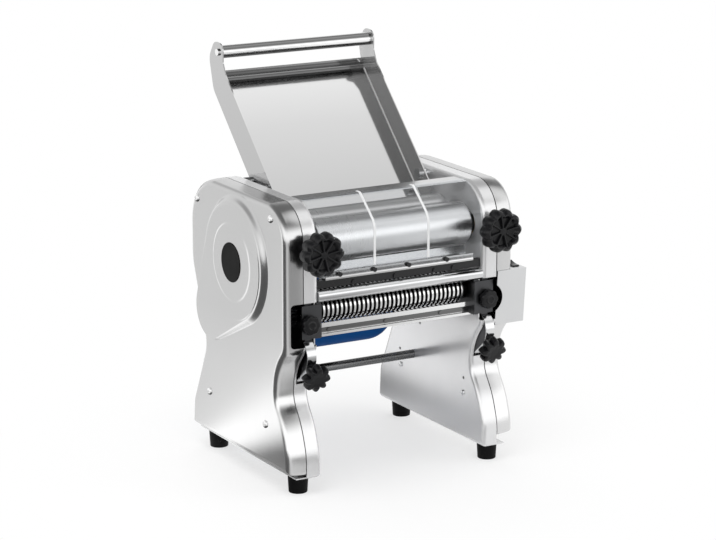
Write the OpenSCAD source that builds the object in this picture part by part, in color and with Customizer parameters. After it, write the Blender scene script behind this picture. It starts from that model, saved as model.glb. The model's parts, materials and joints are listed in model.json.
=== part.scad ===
// Electric pasta maker: a bench-top dough sheeter with a noodle cutter cassette.
// X runs across the machine, the front faces -Y, and Z = 0 is the table.
// Shapes are drawn with Y = 0 at the front feet; place() moves them over the middle of the footprint.

/* [Housings] */
// Distance between the inner faces of the two side housings
throat_w = 227; // [223:1:232]
// Width of each inner panel, from its inner face to the seam with the cover
panel_w = 19.5; // [18.5:0.5:20]
// Width of each outer cover, from the seam to its outer face
cover_w = 24.5; // [24:0.5:28]
// Thickness of the stainless sheet
sheet_t = 1.5; // [1.2:0.1:2]
// Height of the flat top of the housings above the table
top_z = 350; // [350:1:356]
// How far the round boss on the left cover stands out
pod_h = 6; // [5:0.5:8]
// Height of the rubber feet
foot_h = 21; // [15:1:24]

/* [Rollers] */
// Radius of the two pressing rollers
roller_r = 25.8; // [25:0.1:25.9]
// Half of the length of the pressing rollers
roller_half = 104.5; // [95:0.5:105]
// How far the front roller can be drawn away from the rear one
gap_travel = 4; // [1:0.5:4]

/* [Noodle cutter] */
// Radius of the cutting discs
disc_r = 16; // [15.8:0.1:16]
// Width of one cutting disc
disc_w = 2.6; // [2:0.1:2.6]
// Distance from one disc to the next on a shaft
disc_pitch = 6; // [6:0.5:8]

/* [Knobs] */
// Radius of the two gap-adjusting star knobs, over the lobes
big_knob_r = 27; // [24:0.5:28]
// Radius of the two cassette knobs
small_knob_r = 12; // [10:0.5:13]
// Radius of the two clamp knobs
clamp_knob_r = 17.5; // [15:0.5:18]

/* [Hopper tray] */
// Depth of the tray's side walls, square to its floor
tray_wall_h = 39; // [34:1:40]
// Radius of the handle tube
handle_r = 8; // [6:0.5:9]

/* [Drive] */
// Radius of the motor body
motor_r = 65; // [58:1:66]
// Length of the motor's barrel, without its end bell
motor_l = 150; // [130:1:160]

/* [Hidden] */
$fn = 64;
run = 0.06;
fit = 0.03;

// Distances from the middle of the machine, the same on both sides
inner_x = throat_w / 2;
seam_x = inner_x + panel_w;
rim_x = seam_x + 1.2;
face_x = seam_x + cover_w;
plate_x = inner_x + 4.5;
plate_t = 9;
plate_out_x = plate_x + plate_t;
mid_plate_x = plate_x + plate_t / 2;

// Side outline of the housings
left_cover_z = foot_h + 5;
right_cover_z = foot_h + 13;
front_y = -17;
leg_front_y = -22.5;
leg_back_y = 234;
waist_y = 10;
back_y = 231;
foot_back_y = 207;
foot_r = 12.5;
front_edge = [[front_y, 177, 25], [6, 150, 60], [waist_y, 113, 35], [-10, 86, 100], [leg_front_y, 50, 70]];
screw_points = [[18.6, 332], [182.4, 80.9], [35.6, 77.8], [210, 320.5]];

// Rollers and their adjustment
roller_z = 298;
front_roller_y = 20;
rest_gap = 0.6;
rear_roller_y = front_roller_y + 2 * roller_r + rest_gap;
front_c = [front_roller_y, roller_z];
rear_c = [rear_roller_y, roller_z];
shaft_r = 10;
collar_r = 13;
block_half = 16;
block_y = front_roller_y - block_half;
spindle_r = 3.5;
spindle_pocket = 4;
knob_face_y = -52;
knob_front = 8;

// Gear train: rollers, an idler down to the cutters, and the jackshaft
gear_m = 2;
roller_teeth = 26;
idler_teeth = 23;
cutter_teeth = 15;
drive_teeth = 34;
pinion_teeth = 17;
gear_plane = [plate_out_x + 2.5, plate_out_x + 10.5];
drive_plane = [plate_out_x + 13, plate_out_x + 21.5];
belt_plane = [face_x - 7, face_x + 3];
jack_r = 8;
idler_r = 6;

// Cutter cassette
cutter_z = 216;
cutter_step = gear_m * cutter_teeth;
front_cutter_y = 19;
rear_cutter_y = front_cutter_y + cutter_step;
front_cutter_c = [front_cutter_y, cutter_z];
rear_cutter_c = [rear_cutter_y, cutter_z];
spacer_r = cutter_step - disc_r - 0.4;
journal_r = 5;
end_plate_x = inner_x - 7.5;
end_plate_t = 6;
cutter_half = end_plate_x - 1;
disc_count = floor((2 * cutter_half - 4) / disc_pitch);
disc_shift = 0.2;
cassette_top = cutter_z + 15.8;
cassette_low = 188;
flange_y = [-11, -8];
notch = [181, cutter_z + 18.5];
cassette_knob_x = inner_x + 10;
cassette_knob_z = cutter_z - 9;
stud_r = 2.5;

// Shafts that the gear sizes place
idler_reach = gear_m * (roller_teeth + idler_teeth) / 2;
idler_drop = gear_m * (cutter_teeth + idler_teeth) / 2;
idler_c = apex(rear_cutter_c, idler_drop, rear_c, idler_reach);
jack_reach = gear_m * (drive_teeth + pinion_teeth) / 2;
jack_y = 107;
jack_c = [jack_y, roller_z - sqrt(pow(jack_reach, 2) - pow(jack_y - rear_roller_y, 2))];

// Gear angles that keep every pair in mesh
front_phase = mesh(rear_c, 0, roller_teeth, front_c, roller_teeth);
idler_phase = mesh(rear_c, 0, roller_teeth, idler_c, idler_teeth);
rear_cutter_phase = mesh(idler_c, idler_phase, idler_teeth, rear_cutter_c, cutter_teeth);
front_cutter_phase = mesh(rear_cutter_c, rear_cutter_phase, cutter_teeth, front_cutter_c, cutter_teeth);
pinion_phase = mesh(rear_c, 0, drive_teeth, jack_c, pinion_teeth);

// Motor and belt
motor_c = [166, 190];
motor_x = -inner_x;
shield_t = 9;
barrel_end = motor_x + shield_t + motor_l;
motor_wall = 3;
motor_shaft_r = 7;
drive_pulley_r = 60;
motor_pulley_r = 17;
groove = 4;
belt_w = 7;
belt_t = 5;
belt_gap = 0.3;

// Boss on the left cover: a round field over the big pulley and a lobe over the small one
pod_c = [107, 262];
pod_base_c = [107, 265];
pod_r = [80, 70.5];
lobe_c = [168, 190];
lobe_r = [38, 36];

// Nose clamps: nose_tip is the corner of the nose's outline, from its centre
nose_c = [2, 167];
nose_r = 22;
nose_tip = [-37.2, 3.9];
band_t = 1.5;
clamp_face = [-33, 143.5];
clamp_tilt = 20;
clamp_screw_r = 3;

// Hopper tray: its walls lie between two lines that lean back at 45 degrees, given by z - y
pivot = [120, 340];
pivot_r = 4;
tray_x = 107.5;
tray_back = 182;
tray_floor = 194;
tray_front = tray_back + tray_wall_h * sqrt(2);
handle_c = [247, 491.5];
tray_tail = [105, 299.3];

// Switch box
box_z = [172.5, 241];
box_x = [rim_x + 0.3, 175.5];
box_back_y = 55;
rocker = [10, 20];
rocker_c = [167.5, 2];
rocker_z = box_z[1] - 3.5;
rocker_pin_r = 1;

// Roller guard
guard_y = -15.5;
guard_t = 2;
strip_z = top_z - 1.5;
guard_path = [[guard_y, 262, 0], [guard_y, 320, 22], [20, strip_z + guard_t, 6], [27, strip_z + guard_t, 0]];
rail_screw_x = [-84, -37, 10, 63];
bar_screw_x = [-63, -6, 49, 75];
cross_bar_c = [-12, 240];

// The footprint is centred on the origin
x_ends = [-face_x - pod_h - 2, box_x[1]];
y_ends = [knob_face_y, 270.4];

module place() {
    translate([-(x_ends[0] + x_ends[1]) / 2, -(y_ends[0] + y_ends[1]) / 2, 0]) children();
}

// ---- points and outlines, all in the (Y, Z) plane ----

function unit(v) = v / norm(v);

function turned(v, a) = [v[0] * cos(a) - v[1] * sin(a), v[0] * sin(a) + v[1] * cos(a)];

function point(p, i) = let(q = p[(i + len(p)) % len(p)]) [q[0], q[1]];

function reversed(p) = [for (i = [len(p) - 1:-1:0]) p[i]];

// The third corner of a triangle on a and b, at distances ra and rb, to the right of a to b
function apex(a, ra, b, rb) =
    let(d = norm(b - a), u = (b - a) / d, along = (ra * ra - rb * rb + d * d) / (2 * d))
    a + u * along + [u[1], -u[0]] * sqrt(ra * ra - along * along);

// The arc of radius r that rounds corner c between its neighbours, moved to the left by t
function corner(before, c, after, r, t, steps = 8) =
    let(u = unit(before - c), v = unit(after - c), half = acos(u * v) / 2,
        centre = c + unit(u + v) * r / sin(half),
        s = c + u * r / tan(half) - centre, e = c + v * r / tan(half) - centre,
        turn = sign(s[0] * e[1] - s[1] * e[0]), k = (r - turn * t) / r)
    [for (i = [0:steps]) centre + turned(s, turn * (180 - 2 * half) * i / steps) * k];

// A closed outline with rounded corners: each point is [y, z, radius]
function rounded(p) = [
    for (i = [0:len(p) - 1])
        for (q = p[i][2] < 0.05 ? [point(p, i)]
            : corner(point(p, i - 1), point(p, i), point(p, i + 1), p[i][2], 0)) q
];

// The same outline moved inwards by t, for points listed anticlockwise
function inset(p, t) = [
    for (i = [0:len(p) - 1])
        let(c = point(p, i), d1 = unit(c - point(p, i - 1)), d2 = unit(point(p, i + 1) - c),
            n1 = [-d1[1], d1[0]], n2 = [-d2[1], d2[0]], q = c + (n1 + n2) * t / (1 + n1 * n2),
            bend = sign(d1[0] * d2[1] - d1[1] * d2[0]))
        [q[0], q[1], max(p[i][2] - t * bend, 0)]
];

// An open run of rounded points, moved to its left by t
function run_of(p, t) = [
    for (i = [0:len(p) - 1])
        let(c = [p[i][0], p[i][1]], last = len(p) - 1,
            d = i == 0 ? unit(point(p, 1) - c) : unit(c - point(p, i - 1)))
        for (q = i == 0 || i == last ? [c + [-d[1], d[0]] * t]
            : corner(point(p, i - 1), c, point(p, i + 1), p[i][2], t)) q
];

// A strip of thickness t on the left of an open run of rounded points
function band(p, t) = t > 0 ? concat(run_of(p, 0), reversed(run_of(p, t)))
    : concat(run_of(p, t), reversed(run_of(p, 0)));

// The outline of a belt drawn round two circles
function loop_outline(a, ra, b, rb, steps = 24) =
    let(d = norm(b - a), dir = atan2(b[1] - a[1], b[0] - a[0]), lift = acos((ra - rb) / d))
    concat([for (i = [0:steps]) a + turned([ra, 0], dir + lift + (360 - 2 * lift) * i / steps)],
           [for (i = [0:steps]) b + turned([rb, 0], dir - lift + 2 * lift * i / steps)]);

// The angle that puts gear b in mesh with gear a
function mesh(a, phase_a, teeth_a, b, teeth_b) =
    let(dir = atan2(b[1] - a[1], b[0] - a[0]))
    dir + 180 - (phase_a - dir) * teeth_a / teeth_b + 180 / teeth_b;

// The side outline down to height low: two legs under a wide head, with a waist in front
function housing_path(low) = concat([
    [leg_front_y, low, 4], [leg_back_y, low, 6], [back_y, 62, 30], [195, 140, 30],
    [back_y, 240, 60], [back_y, top_z, 60], [front_y, top_z, 45]], front_edge);

// ---- solids laid along an axis ----

module slab(x0, x1) {
    translate([x0, 0, 0]) rotate([90, 0, 90]) linear_extrude(x1 - x0) children();
}

// An outline in X and Z drawn out along Y
module front_slab(y0, y1) {
    translate([0, y1, 0]) rotate([90, 0, 0]) linear_extrude(y1 - y0) children();
}

module rod_x(r, x0, x1, c) {
    translate([x0, c[0], c[1]]) rotate([0, 90, 0]) cylinder(r = r, h = x1 - x0);
}

module rod_y(r, y0, y1, x, z) {
    translate([x, y0, z]) rotate([-90, 0, 0]) cylinder(r = r, h = y1 - y0);
}

module bar(x, y, z) {
    translate([x[0], y[0], z[0]]) cube([x[1] - x[0], y[1] - y[0], z[1] - z[0]]);
}

module on_left() {
    mirror([1, 0, 0]) children();
}

module both_sides() {
    children();
    on_left() children();
}

// A spur gear in the left housing, with straight-flanked teeth that leave a little backlash
module gear(teeth, phase, c, plane, bore) {
    root_r = gear_m * (teeth / 2 - 1.2);
    tip_r = gear_m * (teeth / 2 + 0.9);
    step = 360 / teeth;
    difference() {
        slab(-plane[1], -plane[0]) polygon([
            for (i = [0:teeth - 1], q = [[root_r, -0.32], [tip_r, -0.1], [tip_r, 0.1], [root_r, 0.32]])
                c + turned([q[0], 0], phase + step * (i + q[1]))]);
        rod_x(bore, -plane[1] - 1, -plane[0] + 1, c);
    }
}

// ---- housings ----

// A shallow pan with its web facing the throat, notched for the cassette and the nose clamp
module inner_panel() {
    path = housing_path(foot_h);
    difference() {
        union() {
            difference() {
                slab(inner_x, seam_x) polygon(rounded(path));
                slab(inner_x + sheet_t, seam_x + 1) polygon(rounded(inset(path, sheet_t)));
            }
            bar([seam_x - 1, 146], [leg_front_y + 3, leg_back_y - 3], [foot_h, foot_h + sheet_t]);
        }
        bar([inner_x - 1, seam_x + 1], [leg_front_y - 9, flange_y[1]], notch);
        bar([plate_x - 0.5, plate_out_x + 3.5], [leg_front_y - 9, waist_y + 3], [130, notch[0] + 1]);
        for (y = [front_roller_y - gap_travel, front_roller_y, rear_roller_y])
            rod_x(collar_r + 1.5, inner_x - 1, inner_x + 3, [y, roller_z]);
        rod_y(spindle_r + 1, front_y - 5, front_y + 5, mid_plate_x, roller_z);
        for (y = [0, foot_back_y])
            translate([seam_x, y, foot_h - 1]) cylinder(r = 3.3, h = 4);
    }
}

module left_inner_panel() {
    color("gainsboro") on_left() difference() {
        inner_panel();
        bar([inner_x - 1, inner_x + 3], [leg_front_y, rear_cutter_y], [cutter_z - 8, cutter_z + 8]);
        rod_x(8, inner_x - 1, inner_x + 3, rear_cutter_c);
        rod_x(24, inner_x - 1, inner_x + 3, motor_c);
    }
}

module right_inner_panel() {
    color("gainsboro") inner_panel();
}

// The plate's front follows the throat edge and swells into a nose below the cassette
function plate_path(rear) =
    let(k = (nose_r - band_t - 0.1) / nose_r, tip = nose_c + nose_tip * k)
    concat([[9, 133.4, 2], [32, 146, 8]], rear, [
        [-12, 326, 8], [-12, notch[1] + 2, 1], [-7.8, notch[1], 1],
        [-7.8, nose_c[1] + 17.9, 0], concat(tip, nose_r * k)]);

module frame_plate(rear, spacers) {
    difference() {
        slab(plate_x, plate_out_x) polygon(rounded(plate_path(rear)));
        bar([plate_x - 1, plate_out_x + 1],
            [block_y - gap_travel - 0.2, front_roller_y + block_half + 0.2],
            [roller_z - block_half - 0.2, roller_z + block_half + 0.2]);
        rod_x(17 + fit, plate_x - 1, plate_out_x + 1, rear_c);
        rod_y(spindle_r + run, -15, front_roller_y, mid_plate_x, roller_z);
        rod_y(stud_r + fit, -10, 3.5, cassette_knob_x, cassette_knob_z);
        along_clamp() translate([0, 0, -47]) cylinder(r = clamp_screw_r + fit, h = 60);
    }
    for (c = spacers) rod_x(5, inner_x + sheet_t, plate_x + 0.01, c);
}

module left_frame_plate() {
    slot = [cutter_z - journal_r - 0.8, cutter_z + journal_r + 0.8];
    color("dimgray") on_left() difference() {
        frame_plate([[186, 146, 12], [204, 190, 20], [204, 262, 30], [150, 326, 20]],
            [[20, 160], [20, 270], [130, 300], [190, 238]]);
        bar([plate_x - 1, plate_out_x + 1], [-20, rear_cutter_y], slot);
        rod_x(journal_r + 0.8, plate_x - 1, plate_out_x + 1, rear_cutter_c);
        rod_x(15 + fit, plate_x - 1, plate_out_x + 1, jack_c);
        rod_x(22, plate_x - 1, plate_out_x + 1, motor_c);
        rod_x(idler_r + fit, plate_x - 1, plate_out_x + 1, idler_c);
    }
}

module right_frame_plate() {
    color("dimgray")
        frame_plate([[112, 146, 12], [112, 326, 25]], [[20, 160], [20, 270], [100, 300], [100, 160]]);
}

// A deep pan that closes the housing from outside
module cover_shell(low) {
    path = housing_path(low);
    difference() {
        slab(rim_x, face_x) polygon(rounded(path));
        slab(rim_x - 1, face_x - sheet_t) polygon(rounded(inset(path, sheet_t)));
    }
}

module screw_holes() {
    for (c = screw_points) rod_x(2.6, face_x - 5, face_x + 1, c);
}

// The boss: a hull of its wide base and its smaller field, moved in by t for the hollow
module pod(t) {
    hull() {
        slab(face_x - t - 0.2, face_x - t)
            polygon(loop_outline(pod_base_c, pod_r[0] - t, lobe_c, lobe_r[0] - t));
        slab(face_x - t + pod_h - 0.5, face_x - t + pod_h)
            polygon(loop_outline(pod_c, pod_r[1] - t, lobe_c, lobe_r[1] - t));
    }
}

module left_cover() {
    color("gainsboro") on_left() difference() {
        union() {
            cover_shell(left_cover_z);
            pod(0);
            rod_x(pod_r[1] - 0.5, face_x + pod_h - 1, face_x + pod_h + 0.6, pod_c);
            rod_x(47, face_x + pod_h, face_x + pod_h + 1.2, pod_c);
        }
        pod(sheet_t);
        front_slab(leg_front_y - 9, flange_y[1]) polygon(rounded([
            [rim_x - 1, notch[0], 0], [150, notch[0], 5], [150, notch[1], 5], [rim_x - 1, notch[1], 0]]));
        screw_holes();
    }
}

module right_cover() {
    color("gainsboro") difference() {
        cover_shell(right_cover_z);
        bar([rim_x - 1, face_x + 1], [leg_front_y - 9, -3.8], [box_z[0] - 0.2, box_z[1] + 0.2]);
        rod_y(7, leg_back_y - 8, leg_back_y + 1, 146, 50);
        screw_holes();
    }
}

module cover_standoffs() {
    color("silver") both_sides() for (c = screw_points)
        difference() {
            rod_x(4, inner_x + sheet_t, face_x - sheet_t, c);
            rod_x(2 + fit, inner_x + 20, face_x, c);
        }
}

// Low domed heads with shanks that run into the standoffs
module cover_screws() {
    color("silver") both_sides() for (c = screw_points) {
        rod_x(2, face_x - 15, face_x + 0.5, c);
        translate([face_x, c[0], c[1]]) rotate([0, 90, 0]) cylinder(r1 = 5, r2 = 3.2, h = 2.4);
    }
}

module badge_disc() {
    color("black") rod_x(24.3, x_ends[0], -face_x - pod_h - 1.2, pod_c);
}

module rubber_feet() {
    color("black") both_sides() for (y = [0, foot_back_y])
        translate([seam_x, y, 0]) difference() {
            cylinder(r1 = foot_r - 1.2, r2 = foot_r, h = foot_h);
            translate([0, 0, 8]) cylinder(r = 3 + fit, h = foot_h);
        }
}

module foot_bolts() {
    color("silver") both_sides() for (y = [0, foot_back_y]) translate([seam_x, y, 0]) {
        translate([0, 0, 8]) cylinder(r = 3, h = foot_h - 3.2);
        translate([0, 0, foot_h + sheet_t]) cylinder(r = 5.6, h = 3.3, $fn = 6);
    }
}

// ---- cross members ----

module lower_tie_rod() {
    color("dimgray") rod_x(5.5, -inner_x, inner_x, [146, 100]);
}

module tray_stop_bar() {
    color("silver") rod_x(5, -inner_x, inner_x, [169.5, 343.8]);
}

module front_cross_bar() {
    color("silver") rod_x(7, -inner_x, inner_x, cross_bar_c);
}

// The dark flat bar under the guard rail
module scraper_bar() {
    color("black") difference() {
        bar([-inner_x, inner_x], [-11, -5], [248.5, 258]);
        for (x = bar_screw_x) rod_y(1.5 + fit, -12, -4, x, 251.5);
    }
}

// Thin blades that wipe the underside of each roller, and the bar that holds the rear one
module roller_scrapers() {
    rear_bar = [rear_roller_y + 23, rear_roller_y + 27];
    color("silver") {
        slab(-102, 102) polygon(band([[-4.9, 252.2, 0], [2, 253, 2.5], [7, 273, 0]], 0.8));
        slab(-102, 102) polygon(band([[rear_roller_y + 11.3, 274.4, 0], [rear_roller_y + 15, 256, 2.5],
            [rear_bar[0], 252, 0]], 0.8));
        bar([-inner_x, inner_x], rear_bar, [246, 258]);
    }
}

// A bright flat bar with a foot that stands on the scraper bar
module guard_rail() {
    front = guard_y + guard_t;
    color("gainsboro") difference() {
        slab(-102, 102)
            polygon([[front, 258], [-5, 258], [-5, 260], [-11, 260], [-11, 267], [front, 267]]);
        for (x = rail_screw_x) rod_y(1.5 + fit, -20, -10, x, 264);
    }
}

module rail_screws() {
    color("black") {
        for (x = rail_screw_x) {
            rod_y(2.8, guard_y - 1.6, guard_y, x, 264);
            rod_y(1.5, guard_y - 0.5, -11, x, 264);
        }
        for (x = bar_screw_x) {
            rod_y(2.8, -12.6, -11, x, 251.5);
            rod_y(1.5, -11.5, -5, x, 251.5);
        }
    }
}

module roller_guard() {
    color("white", 0.35) difference() {
        slab(-inner_x + 1, inner_x - 1) polygon(band(guard_path, -guard_t));
        for (x = rail_screw_x) rod_y(1.5 + fit, -20, -10, x, 264);
    }
}

module guard_ribs() {
    path = concat([[guard_y, 270, 0]], [for (i = [1:3]) guard_path[i]]);
    color("white") for (x = [-37, 37]) slab(x - 1.6, x + 1.6) polygon(band(path, 0.8));
}

module guard_top_strip() {
    color("gainsboro") bar([-inner_x, inner_x], [22.5, 50], [strip_z - 1.5, strip_z]);
}

// ---- rollers and gap adjustment ----

module roller(c, left_end) {
    rod_x(roller_r, -roller_half, roller_half, c);
    rod_x(collar_r, -inner_x - 3, inner_x + 3, c);
    rod_x(shaft_r, -left_end, plate_out_x + 2, c);
}

module front_roller() {
    color("silver") roller(front_c, gear_plane[1] + 1);
}

module rear_roller() {
    color("silver") roller(rear_c, drive_plane[1] + 1);
}

// Square blocks that slide in the frame plates and carry the front roller
module bearing_blocks() {
    color("peru") both_sides() difference() {
        bar([plate_x + 0.2, plate_out_x - 0.2], [block_y, front_roller_y + block_half],
            [roller_z - block_half, roller_z + block_half]);
        rod_x(shaft_r + run, plate_x - 1, plate_out_x + 1, front_c);
        rod_y(spindle_r + fit, block_y - 1, block_y + spindle_pocket, mid_plate_x, roller_z);
    }
}

module rear_bearings() {
    color("peru") both_sides() difference() {
        rod_x(17, plate_x, plate_out_x, rear_c);
        rod_x(shaft_r + run, plate_x - 1, plate_out_x + 1, rear_c);
    }
}

// Threaded spindles fixed in the blocks; the knobs turn on them and draw them forward
module adjusting_spindles() {
    front = knob_face_y + knob_front + gap_travel + 0.3;
    color("silver") both_sides()
        rod_y(spindle_r, front, block_y + spindle_pocket - 0.2, mid_plate_x, roller_z);
}

// A lobed knob about the Z axis, its face at z = 0 and its hub below; the lobes stop short of both
// faces, every second one a little more
module lobed_knob(r, lobes, lobe, depth, hub_r, hub_l) {
    translate([0, 0, -depth]) cylinder(r = r - lobe * 0.7, h = depth);
    for (i = [0:lobes - 1]) {
        short = 0.4 * (1 + i % 2);
        rotate(i * 360 / lobes) translate([r - lobe, 0, short - depth])
            cylinder(r = lobe, h = depth - 2 * short);
    }
    translate([0, 0, -depth - hub_l]) cylinder(r = hub_r, h = hub_l + 1);
}

// Ten shallow lobes, a blind bore for the spindle, and a recessed face with a boss and thin spokes
module adjusting_knob(x) {
    depth = 20;
    hub_l = front_y - 0.3 - knob_face_y - depth;
    translate([x, knob_face_y, roller_z]) rotate([90, 0, 0]) difference() {
        lobed_knob(big_knob_r, 10, 9, depth, 11, hub_l);
        translate([0, 0, -depth - hub_l - 1])
            cylinder(r = spindle_r + run, h = depth + hub_l + 1 - knob_front);
        difference() {
            translate([0, 0, -3.5]) cylinder(r = 18.5, h = 4);
            translate([0, 0, -4]) cylinder(r = 5, h = 5);
            for (i = [0:7]) rotate(i * 45) translate([0, -0.8, -4]) cube([20, 1.6, 5]);
        }
    }
}

module adjusting_knob_left() {
    color("black") adjusting_knob(-mid_plate_x);
}

module adjusting_knob_right() {
    color("black") adjusting_knob(mid_plate_x);
}

// ---- gear train ----

module front_roller_gear() {
    color("gray") gear(roller_teeth, front_phase, front_c, gear_plane, shaft_r + fit);
}

module rear_roller_gears() {
    color("gray") {
        gear(roller_teeth, 0, rear_c, gear_plane, shaft_r + fit);
        gear(drive_teeth, 0, rear_c, drive_plane, shaft_r + fit);
    }
}

module idler_gear() {
    color("gray") gear(idler_teeth, idler_phase, idler_c, gear_plane, idler_r + run);
}

module idler_stud() {
    color("silver") {
        rod_x(idler_r, -gear_plane[1] - 2, -plate_x, idler_c);
        rod_x(9, -gear_plane[1] - 2, -gear_plane[1] - 0.4, idler_c);
        rod_x(9, -gear_plane[0] + 0.4, -plate_out_x, idler_c);
    }
}

// The jackshaft with its pinion in one piece
module jackshaft() {
    color("gray") {
        rod_x(jack_r, -belt_plane[1] - 1, -inner_x - 3, jack_c);
        gear(pinion_teeth, pinion_phase, jack_c, drive_plane, jack_r - 1);
    }
}

module jackshaft_bearing() {
    color("peru") difference() {
        rod_x(15, -drive_plane[0] + 0.5, -plate_x, jack_c);
        rod_x(jack_r + run, -drive_plane[0], -plate_x + 1, jack_c);
    }
}

// A grooved pulley, turned in one piece
module pulley(r, c, bore) {
    w = belt_plane[1] - belt_plane[0];
    lip = (w - belt_w - 1) / 2;
    translate([-belt_plane[1], c[0], c[1]]) rotate([0, 90, 0]) rotate_extrude()
        polygon([[bore, 0], [r, 0], [r, lip], [r - groove, lip], [r - groove, w - lip], [r, w - lip],
            [r, w], [bore, w]]);
}

module drive_pulley() {
    color("gray") pulley(drive_pulley_r, jack_c, jack_r + fit);
}

module motor_pulley() {
    color("gray") pulley(motor_pulley_r, motor_c, motor_shaft_r + fit);
}

module drive_belt() {
    inner = belt_gap - groove;
    outer = inner + belt_t;
    mid = (belt_plane[0] + belt_plane[1]) / 2;
    color("black") slab(-mid - belt_w / 2, -mid + belt_w / 2) difference() {
        polygon(loop_outline(jack_c, drive_pulley_r + outer, motor_c, motor_pulley_r + outer, 40));
        polygon(loop_outline(jack_c, drive_pulley_r + inner, motor_c, motor_pulley_r + inner, 40));
    }
}

// ---- motor ----

module motor_front_shield() {
    color("darkblue") difference() {
        union() {
            rod_x(motor_r, motor_x, motor_x + shield_t, motor_c);
            rod_x(20, -plate_out_x, motor_x + 1, motor_c);
        }
        rod_x(motor_shaft_r + run, -plate_out_x - 1, motor_x + shield_t + 1, motor_c);
    }
}

module motor_shell() {
    color("royalblue") difference() {
        rod_x(motor_r, motor_x + shield_t, barrel_end, motor_c);
        rod_x(motor_r - motor_wall, motor_x + shield_t - 1, barrel_end + 1, motor_c);
    }
}

// A dished cap with a generous corner radius
module motor_end_bell() {
    bend = 26;
    depth = 28;
    centre = [motor_r - bend, depth - bend];
    function arc(r) = [for (i = [0:10]) centre + turned([r, 0], i * 9)];
    color("royalblue") translate([barrel_end, motor_c[0], motor_c[1]]) rotate([0, 90, 0])
        rotate_extrude() polygon(concat([[motor_r, 0]], arc(bend), [[0, depth], [0, depth - motor_wall]],
            reversed(arc(bend - motor_wall)), [[motor_r - motor_wall, 0]]));
}

module motor_stator() {
    color("saddlebrown") difference() {
        rod_x(motor_r - motor_wall - 0.1, -70, 15, motor_c);
        rod_x(33, -71, 16, motor_c);
    }
}

// The rotor core on its shaft, with a fan behind it
module motor_rotor() {
    color("gray") {
        rod_x(motor_shaft_r, -belt_plane[1] - 1, 44, motor_c);
        rod_x(32, -60, 5, motor_c);
        for (i = [0:7])
            translate([28, motor_c[0], motor_c[1]]) rotate([i * 45, 0, 0])
                translate([0, -1, 6]) cube([12, 2, 42]);
    }
}

// ---- noodle cutter cassette ----

module cutter_end_plates() {
    color("dimgray") both_sides() difference() {
        union() {
            bar([end_plate_x, end_plate_x + end_plate_t], [flange_y[1] - 1, 70],
                [cassette_low, cassette_top]);
            bar([end_plate_x, seam_x - 0.5], flange_y, [nose_c[1] + nose_r, cassette_top - 2]);
        }
        for (c = [front_cutter_c, rear_cutter_c])
            rod_x(journal_r + run, end_plate_x - 1, end_plate_x + end_plate_t + 1, c);
        rod_y(stud_r + 0.1, flange_y[0] - 1, flange_y[1] + 1, cassette_knob_x, cassette_knob_z);
    }
}

// Discs and spacers turned on one shaft; the two shafts differ by half a pitch, so they interleave
module cutter_shaft(y, shift) {
    start = shift - disc_count * disc_pitch / 2;
    ends = [-gear_plane[1] - 0.5, end_plate_x + end_plate_t - 0.5];
    discs = [
        for (i = [0:disc_count - 1], q = [[spacer_r, 0], [disc_r, 0], [disc_r, disc_w], [spacer_r, disc_w]])
            [q[0], start + i * disc_pitch + q[1]]];
    color("silver") translate([0, y, cutter_z]) rotate([0, 90, 0]) rotate_extrude()
        polygon(concat(
            [[0, ends[0]], [journal_r, ends[0]], [journal_r, -cutter_half], [spacer_r, -cutter_half]],
            discs,
            [[spacer_r, cutter_half], [journal_r, cutter_half], [journal_r, ends[1]], [0, ends[1]]]));
}

module front_cutter_shaft() {
    cutter_shaft(front_cutter_y, disc_shift);
}

module rear_cutter_shaft() {
    cutter_shaft(rear_cutter_y, disc_shift + disc_pitch / 2);
}

module front_cutter_gear() {
    color("gray") gear(cutter_teeth, front_cutter_phase, front_cutter_c, gear_plane, journal_r + fit);
}

module rear_cutter_gear() {
    color("gray") gear(cutter_teeth, rear_cutter_phase, rear_cutter_c, gear_plane, journal_r + fit);
}

// A bar with fingers that lie between the discs of one shaft and lift the noodles off
module comb(bar_y, finger_y, shift) {
    z = cutter_z - spacer_r - 1.8;
    finger = disc_pitch - disc_w - 1;
    first = shift - disc_count * disc_pitch / 2 + disc_w + 0.5;
    bar([-end_plate_x, end_plate_x], bar_y, [z - 1.8, z + 1]);
    for (i = [0:disc_count - 2])
        bar([first + i * disc_pitch, first + i * disc_pitch + finger], finger_y, [z, z + 1]);
}

module cutter_combs() {
    color("gainsboro") {
        comb([2, 6], [5, front_cutter_y + 4], disc_shift);
        comb([rear_cutter_y + 17, rear_cutter_y + 20], [rear_cutter_y - 4, rear_cutter_y + 18],
            disc_shift + disc_pitch / 2);
    }
}

// The bright sheet under the cutter: a folded profile with three screws in its recess and a lip below
module cutter_front_plate() {
    color("white") {
        slab(-end_plate_x, end_plate_x) polygon([
            [0, 203], [0, 197.5], [3, 196], [3, 190], [-2, 190], [-2, 187],
            [8, 187], [8, 190], [4.6, 190], [4.6, 196.8], [1.8, 198.6], [1.8, 203]]);
        for (x = [-89, -11, 66]) rod_y(2.6, 1.4, 3.2, x, 193.5);
    }
}

// ---- small knobs ----

module cassette_knob(x) {
    depth = 8.5;
    translate([x, flange_y[0] - 0.2 - depth, cassette_knob_z]) rotate([90, 0, 0]) {
        lobed_knob(small_knob_r, 7, 3.6, depth - 1, 6.5, 1);
        translate([0, 0, -1]) cylinder(r = 4.5, h = 1.8);
    }
    rod_y(stud_r, flange_y[0] - 5, 3, x, cassette_knob_z);
}

module cassette_knob_left() {
    color("black") cassette_knob(-cassette_knob_x);
}

module cassette_knob_right() {
    color("black") cassette_knob(cassette_knob_x);
}

// The clamp screws point up and back into the frame plates
module along_clamp() {
    translate([mid_plate_x, clamp_face[0], clamp_face[1]]) rotate([90 + clamp_tilt, 0, 0]) children();
}

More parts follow.
